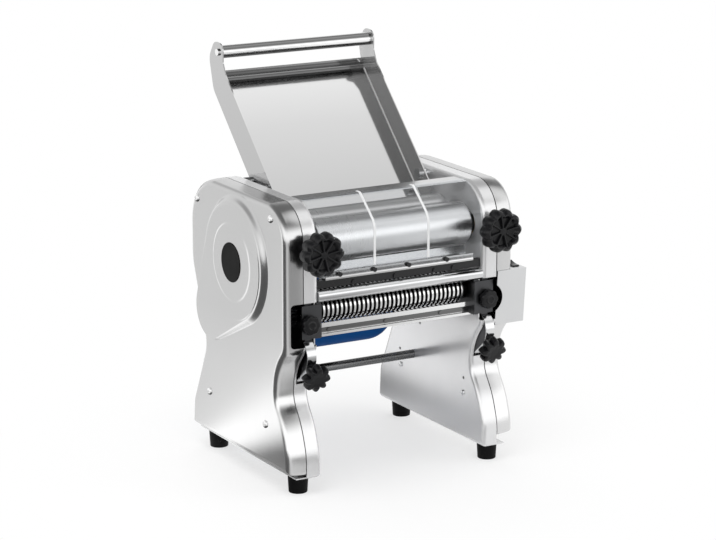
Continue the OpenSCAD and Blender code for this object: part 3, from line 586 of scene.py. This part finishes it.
def pan(name, path, rim, web, bend, mirrored, draft=0.0):
    """A pressed sheet pan: a flange that leans in towards a bend, and a flat web."""
    side = math.copysign(1.0, web - rim)
    start = web - side * bend
    inside = bend - SHEET
    outer = [(rim + (start - rim) * i / 6, draft * (i / 6) ** 2) for i in range(7)]
    inner = [(x, t + SHEET) for x, t in outer]
    for i in range(1, 9):
        a = math.pi / 2 * i / 8
        outer.append((start + side * bend * math.sin(a), draft + bend * (1 - math.cos(a))))
        inner.append((start + side * inside * math.sin(a), draft + SHEET + inside * (1 - math.cos(a))))
    bm = bmesh.new()
    rings = [[at(x, p.x, p.y) for p in outline(path, t)] for x, t in reversed(inner)]
    rings += [[at(x, p.x, p.y) for p in outline(path, t)] for x, t in outer]
    join_rings(bm, rings)
    return to_mesh(name, bm, mirrored)


def boss():
    """The pressed boss of the left cover: a curved wall round a field with two shallow discs."""
    bm = bmesh.new()
    rings = []
    sunk, spread, steps = 0.3, 1.5, 20
    for i in range(steps + 1):
        s = i / steps
        rise = s * s * s * (s * (6 * s - 15) + 10)
        pod, lobe = (foot + (top - foot) * s + spread * (1 - s) for foot, top in (POD_R, LOBE_R))
        c = Vector(POD_BASE_C).lerp(Vector(POD_C), s)
        rings.append([at(FACE_X - sunk + (POD_H + sunk) * rise, p.x, p.y)
                      for p in loop_outline(c, pod, LOBE_C, lobe)])
    join_rings(bm, rings)
    place = axis_frame((FACE_X + POD_H, *POD_C), ALONG_X)
    disc = [(DISC_R + 1.8, -0.35, 0), (DISC_R, DISC_H, 0.9), (0.05, DISC_H, 0)]
    inner_disc = [(INNER_DISC_R + 1.0, 0.3, 0), (INNER_DISC_R, DISC_H, 2.5),
                  (INNER_DISC_R - 2.4, 2 * DISC_H, 2.5), (0.05, 2 * DISC_H, 0)]
    for profile in (disc, inner_disc):
        turned(bm, place, rounded_profile(profile, 6), 160)
    return to_mesh("boss", bm, True)


def cover(side, low):
    """The skin of one side's cover, down to a height."""
    name = side + "_cover"
    mesh = pan(name + "_skin", housing(low), RIM_X, FACE_X, COVER_BEND, side == "left", COVER_DRAFT)
    # This material, also on the boss, has painted shade: lighter low down, darker towards the top.
    return as_object(name + "_skin", mesh, "cover_steel", "frame", replaces=(name,))


def notch_cutter():
    """The front notch of the left cover, with round outer corners."""
    near_x, far_x = RIM_X - 1, 150
    path = [(near_x, NOTCH[0], 0.1), (far_x, NOTCH[0], 5), (far_x, NOTCH[1], 5), (near_x, NOTCH[1], 0.1)]
    bm = bmesh.new()
    join_rings(bm, [[at(p.x, y, p.y) for p in outline(path)] for y in (-30, -8)])
    return as_cutter(bm, True)


def build_covers():
    """Both covers: a notch and the boss on the left, gaps for the switch box and the gland on the right."""
    left = cover("left", LEFT_COVER_LOW)
    cut(left, notch_cutter())
    weighted(left, 50)
    weighted(as_object("left_cover_boss", boss(), "cover_steel", "frame"), 60)
    right = cover("right", RIGHT_COVER_LOW)
    switch_y, switch_z = (-30, -3.8), (172.3, 241.2)
    gland_radius, gland_start = 7, (146, 226, 50)
    cut(right, box_cutter((RIM_X - 1, FACE_X + 1), switch_y, switch_z))
    cut(right, rod_cutter(gland_radius, gland_start, ALONG_Y, 10))
    weighted(right, 50)


def build_inner_panels():
    """The pans that face the throat, with their holes, and a shelf over each pair of feet."""
    web_x = (INNER_X - 1, INNER_X + 3)
    nose_x, nose_y, nose_z = (PLATE_X - 0.5, PLATE_OUT_X + 3.5), (-32, WAIST_Y + 3), (130, 182)
    for side, mirrored in (("left", True), ("right", False)):
        name = side + "_inner_panel"
        mesh = pan(name + "_skin", housing(FOOT_H), SEAM_X, INNER_X, PANEL_BEND, mirrored)
        obj = as_object(name + "_skin", mesh, "panel_steel", "frame", replaces=(name,))
        cut(obj, box_cutter((INNER_X - 1, SEAM_X + 1), (-30, -8), NOTCH, mirrored))
        cut(obj, box_cutter(nose_x, nose_y, nose_z, mirrored))
        for y in (*FRONT_ROLLER_YS, REAR_ROLLER_Y):
            cut(obj, rod_cutter(14.5, (web_x[0], y, ROLLER_Z), ALONG_X, 4, mirrored))
        cut(obj, rod_cutter(4.5, (MID_PLATE_X, -22, ROLLER_Z), ALONG_Y, 10, mirrored))
        if mirrored:
            cut(obj, box_cutter(web_x, (-22, 49), (208, 224), True))
            cut(obj, rod_cutter(8, (web_x[0], *REAR_CUTTER), ALONG_X, 4, True))
            cut(obj, rod_cutter(24, (web_x[0], *JACKSHAFT), ALONG_X, 4, True))
        weighted(obj, 50)
        shelf = bmesh.new()
        add_box(shelf, (132, 145.8), (-19, 231), (FOOT_H, FOOT_H + SHEET))
        mesh = to_mesh("shelf", shelf, mirrored)
        as_object(side + "_foot_shelf", mesh, "panel_steel", "frame")


def build_panel_fasteners():
    """Small screws, and flat black discs that stand for the shade inside open holes, low on the throat side
    of each inner panel.
    """
    heads, holes = bmesh.new(), bmesh.new()
    hole = rounded_profile([(1.9, -0.3, 0), (1.9, 0.15, 0.05), (0.05, 0.12, 0)])
    for sign in (-1, 1):
        for y, z in ((175.5, 79), (25, 80)):
            screw_head(heads, axis_frame((sign * INNER_X, y, z), (-sign, 0, 0)), 3.6, 2.0)
        for y, z in ((178, 99.5), (24.3, 99), (129, 144.5)):
            turned(holes, axis_frame((sign * INNER_X, y, z), (-sign, 0, 0)), hole, 20)
    as_object("panel_screw_set", to_mesh("panel_screw_set", heads), "zinc_plated", "frame", angle=40)
    # Painted shade: black discs on the panel in place of the dark inside open holes.
    as_object("panel_hole_shade_set", to_mesh("panel_hole_shade_set", holes), "black_oxide", "frame", angle=40)


# ---- knobs ----

def lobes(count, depth, sharp=0.12, inside=6.0):
    """A radius function with rounded lobes and narrow valleys, fading out towards the middle."""
    def radius(r, a):
        wave = math.sqrt(math.cos(count * a / 2) ** 2 + sharp * sharp) / math.sqrt(1 + sharp * sharp)
        return r - depth * (1 - wave) * min(1.0, max(0.0, (r - inside) / 10))
    return radius


def spoke(bm, place, near, far, wide, thin):
    """A tapered rib between two (radius, low, high) sections of a knob's face."""
    rings = []
    for (r, low, high), half in ((near, thin), (far, wide)):
        slope = high - 0.4
        section = ((-1.0, low), (1.0, low), (0.7, slope), (0.35, high), (-0.35, high), (-0.7, slope))
        rings.append([place @ Vector((r, half * k, h)) for k, h in section])
    join_rings(bm, rings)


def star_knob(name, x, body, node):
    """A ten-lobed knob with a deep dished face, a small boss, eight raised spokes and a stepped hub."""
    bm = bmesh.new()
    place = axis_frame((x, STAR_KNOB_Y, ROLLER_Z), (0, -1, 0))
    profile = rounded_profile([
        (0.05, -3.0, 0), (4.6, -3.0, 1.0), (5.6, -5.6, 1.0), (16.5, -5.2, 1.5), (20.0, -1.0, 1.5),
        (22.4, -0.3, 1.2), (26.2, -4.0, 3.0), (27.0, -9.0, 2.0), (27.0, -15.0, 2.0), (24.0, -20.0, 2.5),
        (12.0, -20.0, 0.8), (11.0, -34.7, 0), (3.7, -34.7, 0), (3.7, -8.0, 0), (0.05, -8.0, 0)])
    turned(bm, place, profile, 200, lobes(10, 3.6, 0.10, 14.0))
    spokes, first_angle = 8, 12
    for i in range(spokes):
        turn = place @ Matrix.Rotation(math.radians(360 / spokes * i + first_angle), 4, "Z")
        spoke(bm, turn, (4.0, -6.0, -2.6), (21.5, -5.6, -0.2), 1.5, 1.1)
    as_object(name, to_mesh(name, bm), "knob_black", body, replaces=(node,), angle=50)


def fluted_knob(name, x, body, node):
    """An eight-lobed clamp knob on a screw, its face tilted down."""
    bm = bmesh.new()
    tilt = math.radians(CLAMP_TILT)
    place = axis_frame((x, *CLAMP_KNOB), (0, -math.cos(tilt), -math.sin(tilt)))
    profile = rounded_profile([
        (0.05, -0.6, 0), (5.0, -0.6, 1.0), (11.5, 0.0, 1.5), (16.4, -0.8, 1.6), (17.5, -5.0, 1.5),
        (17.5, -11.2, 1.3), (15.0, -13.0, 1.0), (8.0, -13.0, 0.6), (7.6, -17.5, 0.5), (3.0, -17.5, 0),
        (3.0, -46.0, 0), (0.05, -46.0, 0)])
    turned(bm, place, profile, 160, lobes(8, 6.5, 0.16, 7.0))
    as_object(name, to_mesh(name, bm), "knob_black", body, replaces=(node,), angle=50)


def small_knob(name, x, body, node):
    """A seven-lobed cassette knob with a shallow dimple in its face."""
    bm = bmesh.new()
    place = axis_frame((x, *CASSETTE_KNOB), (0, -1, 0))
    profile = rounded_profile([
        (0.05, 0.0, 0), (3.4, 0.0, 0.4), (4.4, 0.75, 0.4), (6.0, 0.1, 0.6), (10.8, 0.0, 0.9),
        (12.0, -1.4, 0.8), (12.0, -6.6, 0.7), (10.5, -7.5, 0.5), (6.5, -7.5, 0.3), (6.4, -8.5, 0),
        (2.5, -8.5, 0), (2.5, -22.5, 0), (0.05, -22.5, 0)], 3)
    turned(bm, place, profile, 112, lobes(7, 2.6))
    as_object(name, to_mesh(name, bm), "knob_black", body, replaces=(node,), angle=40)


def build_knobs():
    for side, sign in (("left", -1), ("right", 1)):
        plate_x, cassette_x = sign * MID_PLATE_X, sign * CASSETTE_KNOB_X
        star_knob(side + "_star_knob", plate_x, side + "_gap_knob", "adjusting_knob_" + side)
        fluted_knob(side + "_fluted_knob", plate_x, side + "_clamp_knob", "clamp_knob_" + side)
        small_knob(side + "_lobed_knob", cassette_x, side + "_cassette_knob", "cassette_knob_" + side)


# ---- small parts ----

def screw_head(bm, place, r, h):
    """A domed head, its seat at height 0."""
    dome = ((0.97, 0.35), (0.85, 0.68), (0.62, 0.9), (0.36, 1.0))
    profile = [(r, -0.6), (r, 0.25)] + [(r * reach, h * lift) for reach, lift in dome] + [(0.04, h * 1.02)]
    turned(bm, place, profile, 24)


def build_cover_screws():
    """Domed heads with a cross recess, and their shanks."""
    heads, crosses = bmesh.new(), bmesh.new()
    w, l = 0.45, 2.2
    plus = [(w, w), (w, l), (-w, l), (-w, w), (-l, w), (-l, -w),
            (-w, -w), (-w, -l), (w, -l), (w, -w), (l, -w), (l, w)]
    places = [(sign, y, z) for sign in (-1, 1) for y, z in SCREWS]
    for sign, y, z in places:
        seat = axis_frame((sign * FACE_X, y, z), (sign, 0, 0))
        screw_head(heads, seat, 4.8, 2.4)
        join_rings(crosses, [[seat @ Vector((u, v, h)) for u, v in plus] for h in (1.2, 4.0)])
    # The heads carry painted light: dark where they face down, bright where they face up.
    obj = as_object("cover_screw_set", to_mesh("cover_screw_set", heads), "screw_painted_light", "frame",
                    replaces=("cover_screws",), angle=40)
    cut(obj, as_cutter(crosses))
    bm = bmesh.new()
    bm.from_mesh(obj.data)
    for sign, y, z in places:
        turned(bm, axis_frame((sign * (FACE_X - 15), y, z), (sign, 0, 0)), [(2.0, 0), (2.0, 14.8)], 16)
    bm.to_mesh(obj.data)
    bm.free()
    finish_mesh(obj.data, 40)


def build_feet():
    """Four tapered feet, each with a bore for its bolt."""
    bm = bmesh.new()
    profile = rounded_profile([(0.05, 0, 0), (11.3, 0, 0.8), (12.5, 20.99, 0.4), (3.1, 20.99, 0),
                               (3.1, 8.0, 0), (0.05, 8.0, 0)])
    for x in (-SEAM_X, SEAM_X):
        for y in (0, 207):
            turned(bm, axis_frame((x, y, 0), ALONG_Z), profile)
    mesh = to_mesh("foot_set", bm)
    as_object("foot_set", mesh, "foot_rubber", "frame", replaces=("rubber_feet",), angle=40)


def build_badge():
    """The bare disc in the middle of the boss, with a raised rim."""
    bm = bmesh.new()
    place = axis_frame((-FACE_X - POD_H - 2 * DISC_H, *POD_C), (-1, 0, 0))
    turned(bm, place, rounded_profile([(24.3, 0, 0), (24.3, 0.78, 0.4), (22, 0.6, 0.3), (0.05, 0.6, 0)]), 72)
    mesh = to_mesh("badge_plate", bm)
    as_object("badge_plate", mesh, "badge_black", "frame", replaces=("badge_disc",), angle=30)


def build_tray_beads():
    """Small fillets along the joints between the tray's floor, which leans at 45 degrees, and its walls."""
    bm = bmesh.new()
    floor_rise, slant = 194, 0.7071
    section = ((106.1, -0.2), (104.6, -0.2), (104.8, 0.15), (105.4, 0.5), (105.8, 0.95), (106.1, 1.5))
    for sign in (-1, 1):
        join_rings(bm, [[at(sign * x, y - n * slant, y + floor_rise + n * slant) for x, n in section]
                        for y in (112, 160, 210, 258)])
    mesh = to_mesh("tray_bead_set", bm)
    as_object("tray_bead_set", mesh, "bead_steel", "tray", angle=60)


def build_rocker():
    """The rocker's cap with a dished top, on two pins."""
    pivot, tilt = (167.5, 2, 237.5), 10
    half_length, foot, top, dish = 8.5, -1.5, 6.45, 0.9
    bm = bmesh.new()
    place = Matrix.Translation(at(*pivot)) @ Matrix.Rotation(math.radians(tilt), 4, "X")
    place = place @ Matrix.Scale(MM, 4)
    rings = []
    for x, drop in ((-4.8, 0.5), (-4.4, 0.1), (-4.0, 0.0), (4.0, 0.0), (4.4, 0.1), (4.8, 0.5)):
        ring = [place @ Vector((x, y, foot)) for y in (-half_length, half_length)]
        for i in range(11):
            k = 1 - 2 * i / 10
            ring.append(place @ Vector((x, half_length * k, top - drop - dish * (1 - k ** 2))))
        rings.append(ring)
    join_rings(bm, rings)
    turned(bm, place @ Matrix.Rotation(math.pi / 2, 4, "Y"), [(1.0, -6.0), (1.0, 6.0)], 20)
    as_object("rocker_cap", to_mesh("rocker_cap", bm), "switch_black", "rocker", replaces=("rocker_switch",))


# ---- stage, lights and camera ----

# What the floor shows in reflections, by bearing: 0 is the front, 0.25 the right, 0.5 the back
FLOOR_TURN = [(0.0, 0.40), (0.035, 0.38), (0.06, 0.59), (0.09, 0.92), (0.16, 0.97), (0.36, 0.95),
              (0.43, 0.80), (0.455, 0.15), (0.490, 0.15), (0.512, 1.20), (0.54, 1.45), (0.565, 0.90),
              (0.61, 0.86), (0.635, 0.95), (0.655, 1.45), (0.685, 1.40), (0.708, 0.60), (0.725, 0.14),
              (0.84, 0.12), (0.875, 0.70), (0.90, 0.80), (0.94, 0.66), (1.0, 0.40)]

# What the room shows in reflections, by height: 0.5 is level, 1 is straight up
ROOM_BACK = [(0.0, 0.85), (0.50, 0.90), (0.53, 0.95), (0.70, 0.92), (0.78, 0.40), (0.86, 0.22), (1.0, 0.18)]
ROOM_FRONT = [(0.0, 0.80), (0.48, 1.05), (0.58, 1.55), (0.72, 1.45), (0.83, 0.45), (0.89, 0.22), (1.0, 0.16)]

# The direction of a soft bright patch of the room, high to the right
SOFTBOX = Vector((0.52, -0.22, 0.82)).normalized()


def bearing(tree, vector):
    """The direction of a vector seen from above: 0 to the front, 1 all the way round, right first."""
    split = tree.nodes.new("ShaderNodeSeparateXYZ")
    tree.links.new(vector, split.inputs[0])
    angle = maths(tree, "ARCTAN2", split.outputs["X"], maths(tree, "MULTIPLY", split.outputs["Y"], -1.0))
    return maths(tree, "FRACT", maths(tree, "ADD", maths(tree, "DIVIDE", angle, 2 * math.pi), 1.0))


def floor_material():
    """White to the camera further out; in reflections the greys and whites of the studio."""
    material, tree, shader = new_material("floor")
    shader.inputs["Roughness"].default_value = 0.9
    shader.inputs["Specular IOR Level"].default_value = 0.1
    place = tree.nodes.new("ShaderNodeNewGeometry").outputs["Position"]
    reach = vector_maths(tree, "LENGTH", place).outputs["Value"]
    near = ramp(tree, ranged(tree, reach, 0.0, 1.0, 0.5, 2.2), [(0.0, 0.97), (1.0, 0.90)])
    tree.links.new(near, shader.inputs["Base Color"])
    studio = tree.nodes.new("ShaderNodeEmission")
    tree.links.new(ramp(tree, bearing(tree, place), FLOOR_TURN), studio.inputs["Color"])
    white = tree.nodes.new("ShaderNodeEmission")
    path = tree.nodes.new("ShaderNodeLightPath")
    away = ranged(tree, reach, 0.0, 1.0, 0.05, 0.25)
    reflected = maths(tree, "MULTIPLY", path.outputs["Is Glossy Ray"], away)
    seen = mix_shaders(tree, reflected, shader.outputs["BSDF"], studio.outputs["Emission"])
    fade = ranged(tree, reach, 0.60, 1.0, 0.15, 0.45)
    faded = maths(tree, "MULTIPLY", path.outputs["Is Camera Ray"], fade)
    whole = mix_shaders(tree, faded, seen, white.outputs["Emission"])
    tree.links.new(whole, tree.nodes["Material Output"].inputs["Surface"])
    return material


def build_stage():
    """A wide round floor, just under the feet."""
    mesh = bpy.data.meshes.new("floor")
    bm = bmesh.new()
    bmesh.ops.create_circle(bm, cap_ends=True, radius=12.0, segments=96)
    bm.to_mesh(mesh)
    bm.free()
    floor = bpy.data.objects.new("floor", mesh)
    bpy.context.scene.collection.objects.link(floor)
    floor.location = (0, 0, -0.0002)
    mesh.materials.append(floor_material())


def build_world():
    """White to the camera; in reflections a white wall behind, a grey front and a dark ceiling."""
    world = bpy.data.worlds.new("studio")
    bpy.context.scene.world = world
    world.use_nodes = True
    tree = world.node_tree
    ambient = tree.nodes["Background"]
    ambient.inputs["Color"].default_value = (1, 1, 1, 1)
    ambient.inputs["Strength"].default_value = 0.62
    _, y, z = axes(tree, "Generated")
    height = ranged(tree, z, 0.0, 1.0, -1.0, 1.0)
    behind = ranged(tree, y, 0.0, 1.0, -0.35, 0.15)
    room = mix_colours(tree, behind, ramp(tree, height, ROOM_FRONT), ramp(tree, height, ROOM_BACK))
    coords = tree.nodes.new("ShaderNodeTexCoord")
    towards = vector_maths(tree, "DOT_PRODUCT", coords.outputs["Generated"])
    towards.inputs[1].default_value = SOFTBOX
    glow = ranged(tree, towards.outputs["Value"], 0.0, 0.80, 0.90, 0.985)
    studio, white = (tree.nodes.new("ShaderNodeBackground") for _ in range(2))
    tree.links.new(vector_maths(tree, "ADD", room, glow).outputs[0], studio.inputs["Color"])
    path = tree.nodes.new("ShaderNodeLightPath")
    around = mix_shaders(tree, path.outputs["Is Glossy Ray"], ambient.outputs[0], studio.outputs[0])
    direct = maths(tree, "MAXIMUM", path.outputs["Is Camera Ray"], path.outputs["Is Transmission Ray"])
    whole = mix_shaders(tree, direct, around, white.outputs[0])
    tree.links.new(whole, tree.nodes["World Output"].inputs["Surface"])


def lamp(name, location, target, size, power):
    """A rectangular lamp that the metal doesn't mirror; places and sizes are in row metres."""
    data = bpy.data.lights.new(name, "AREA")
    data.shape = "RECTANGLE"
    data.size, data.size_y = size
    data.energy = power
    obj = bpy.data.objects.new(name, data)
    bpy.context.scene.collection.objects.link(obj)
    obj.location = location
    obj.rotation_euler = (Vector(target) - Vector(location)).to_track_quat("-Z", "Y").to_euler()
    obj.visible_glossy = False


def build_lights():
    lamp("key", (-0.9, -0.6, 2.2), (0, 0, 0.2), (1.4, 1.4), 22)
    lamp("fill", (1.6, -1.3, 1.1), (0, 0, 0.2), (1.0, 1.4), 8)
    lamp("back", (0.3, 1.6, 1.8), (0, 0, 0.25), (1.6, 0.8), 10)


def build_camera():
    """The photo's view, solved from the perspective of the two housings."""
    data = bpy.data.cameras.new("camera")
    data.sensor_width = 36.0
    data.lens = 136.45
    camera = bpy.data.objects.new("camera", data)
    bpy.context.scene.collection.objects.link(camera)
    camera.location = at(-1599.7, -2706.1, 1040.7)
    back = Vector((-0.4820, -0.8420, 0.2424)).normalized()
    right = Vector((0, 0, 1)).cross(back).normalized()
    up = back.cross(right)
    camera.rotation_euler = Matrix((right, up, back)).transposed().to_euler()
    bpy.context.scene.camera = camera


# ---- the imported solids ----

# Nodes that the metal round them doesn't mirror
UNMIRRORED = ("motor_shell", "motor_end_bell", "motor_front_shield", "guard_ribs")

# The solids that keep their shape, with their hard edges softened: (material, bevel width in metres)
# The rail, the cassette's front plate, the tray, the cutter shafts and the handle get materials with painted
# light and shade.
SOFTENED = {
    "left_frame_plate": ("dark_steel", 0.0005), "right_frame_plate": ("dark_steel", 0.0005),
    "cutter_end_plates": ("dark_steel", 0.0004), "scraper_bar": ("black_oxide", 0.0003),
    "guard_rail": ("rail_steel", 0.0003), "guard_top_strip": ("brushed_stainless", 0.0003),
    "cutter_front_plate": ("plate_steel", 0.0003), "switch_box": ("brushed_stainless", 0.0006),
    "hopper_tray": ("tray_mirror", 0.0003), "nose_bands": ("polished_stainless", 0.0003),
    "front_cutter_shaft": ("front_cutter_steel", 0.0002), "rear_cutter_shaft": ("rear_cutter_steel", 0.0002),
    "handle_tube": ("handle_steel", 0.0003), "front_roller": ("roller_steel", 0.0005),
    "rear_roller": ("roller_steel", 0.0005), "roller_guard": ("clear_guard", 0.0003),
    "guard_ribs": ("white_plastic", 0.0002), "lower_tie_rod": ("rod_steel", 0.0004),
    "front_cross_bar": ("tube_steel", 0.0004), "tray_stop_bar": ("machined_steel", 0.0004),
}


def dress_nodes():
    """Makes the softened copies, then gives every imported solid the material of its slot."""
    for node, (material, width) in SOFTENED.items():
        softened(node, material, width)
    for node, obj in nodes.items():
        obj.data.materials.clear()
        obj.data.materials.append(MATERIALS[slots[node]])
        obj.visible_glossy = node not in UNMIRRORED


build_stage()
build_world()
build_lights()
build_camera()
dress_nodes()
build_covers()
build_inner_panels()
build_panel_fasteners()
build_knobs()
build_cover_screws()
build_feet()
build_badge()
build_rocker()
build_tray_beads()

bpy.context.scene.view_settings.view_transform = "Standard"
